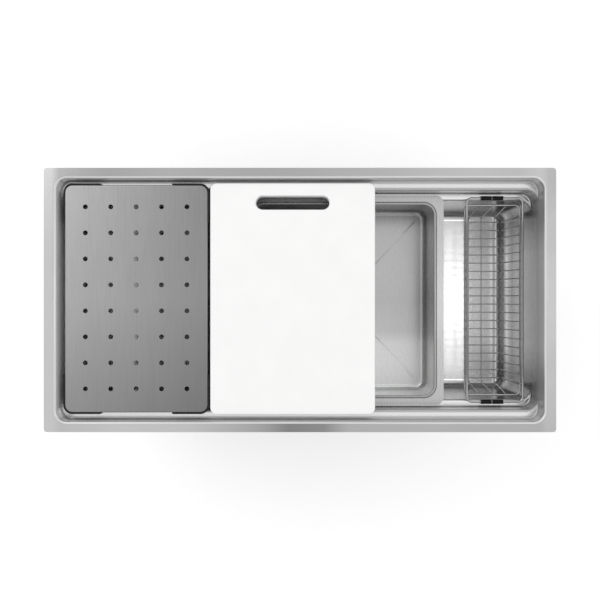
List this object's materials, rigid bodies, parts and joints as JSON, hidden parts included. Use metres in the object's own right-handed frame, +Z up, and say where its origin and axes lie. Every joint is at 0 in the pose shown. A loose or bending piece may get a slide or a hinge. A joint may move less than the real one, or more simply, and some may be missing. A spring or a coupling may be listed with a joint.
{
  "type": "kitchen sink",
  "caption": "Undermount single-bowl steel kitchen sink with ledges that carry a perforated tray, cutting board, rinse basin and wire basket, with a strainer drain.",
  "frame": {"origin": "centre of the bowl's opening, on the top face of the rim", "axes": "+X along the sink to the right, +Y to the rear wall, +Z up"},
  "size_m": [0.94, 0.485, 0.3957],
  "materials": {
    "bowl_steel": "satin, brushed along the walls",
    "tray_steel": "satin, brushed from front to rear",
    "basin_steel": "satin, brushed along the sink",
    "board_white": "matt white board",
    "wire_steel": "polished round wire",
    "guard_rubber": "matt black rubber",
    "sleeve_rubber": "matt black rubber",
    "pad_rubber": "matt dark grey rubber",
    "drain_steel": "satin, turned",
    "tail_chrome": "polished tube",
    "seal_rubber": "matt black rubber",
    "nut_plastic": "moulded off-white plastic",
    "fibre": "brown pressed fibre"
  },
  "bodies": {
    "sink": {"sink_bowl": "bowl_steel", "sound_pad_rear": "pad_rubber", "sound_pad_front": "pad_rubber", "sound_pad_right": "pad_rubber", "sound_pad_left": "pad_rubber", "sound_pad_floor_right": "pad_rubber", "sound_pad_floor_left": "pad_rubber", "flange_seal": "seal_rubber", "strainer_body": "drain_steel", "drain_gasket": "seal_rubber", "fibre_washer": "fibre", "locknut": "nut_plastic", "tailpiece_washer": "nut_plastic", "tailpiece": "tail_chrome", "coupling_nut": "nut_plastic"},
    "tray": {"perforated_tray": "tray_steel", "tray_guard_front_left": "guard_rubber", "tray_guard_front_right": "guard_rubber", "tray_guard_rear_left": "guard_rubber", "tray_guard_rear_right": "guard_rubber"},
    "board": {"cutting_board": "board_white"},
    "basin": {"rinse_basin": "basin_steel"},
    "plug": {"basin_plug": "drain_steel", "basin_plug_seal": "seal_rubber"},
    "basket": {"basket_top_frame": "wire_steel", "basket_ring": "wire_steel", "basket_cross_wires": "wire_steel", "basket_long_wires": "wire_steel", "basket_sleeve_front_left": "sleeve_rubber", "basket_sleeve_front_right": "sleeve_rubber", "basket_sleeve_rear_left": "sleeve_rubber", "basket_sleeve_rear_right": "sleeve_rubber"},
    "strainer": {"strainer_basket": "drain_steel", "strainer_stopper": "seal_rubber", "strainer_post": "drain_steel"}
  },
  "joints": [
    {"name": "tray_lift", "type": "slide", "parent": "sink", "child": "tray", "axis": [0, 0, 1], "range_m": [0, 0.08]},
    {"name": "board_slide", "type": "slide", "parent": "sink", "child": "board", "axis": [1, 0, 0], "range_m": [-0.0015, 0.305]},
    {"name": "basin_slide", "type": "slide", "parent": "sink", "child": "basin", "axis": [1, 0, 0], "range_m": [-0.335, 0]},
    {"name": "plug_lift", "type": "slide", "parent": "basin", "child": "plug", "axis": [0, 0, 1], "range_m": [0, 0.06]},
    {"name": "basket_slide", "type": "slide", "parent": "sink", "child": "basket", "axis": [1, 0, 0], "range_m": [-0.04, 0.012]},
    {"name": "strainer_lift", "type": "slide", "parent": "sink", "child": "strainer", "axis": [0, 0, 1], "range_m": [0, 0.06]}
  ]
}
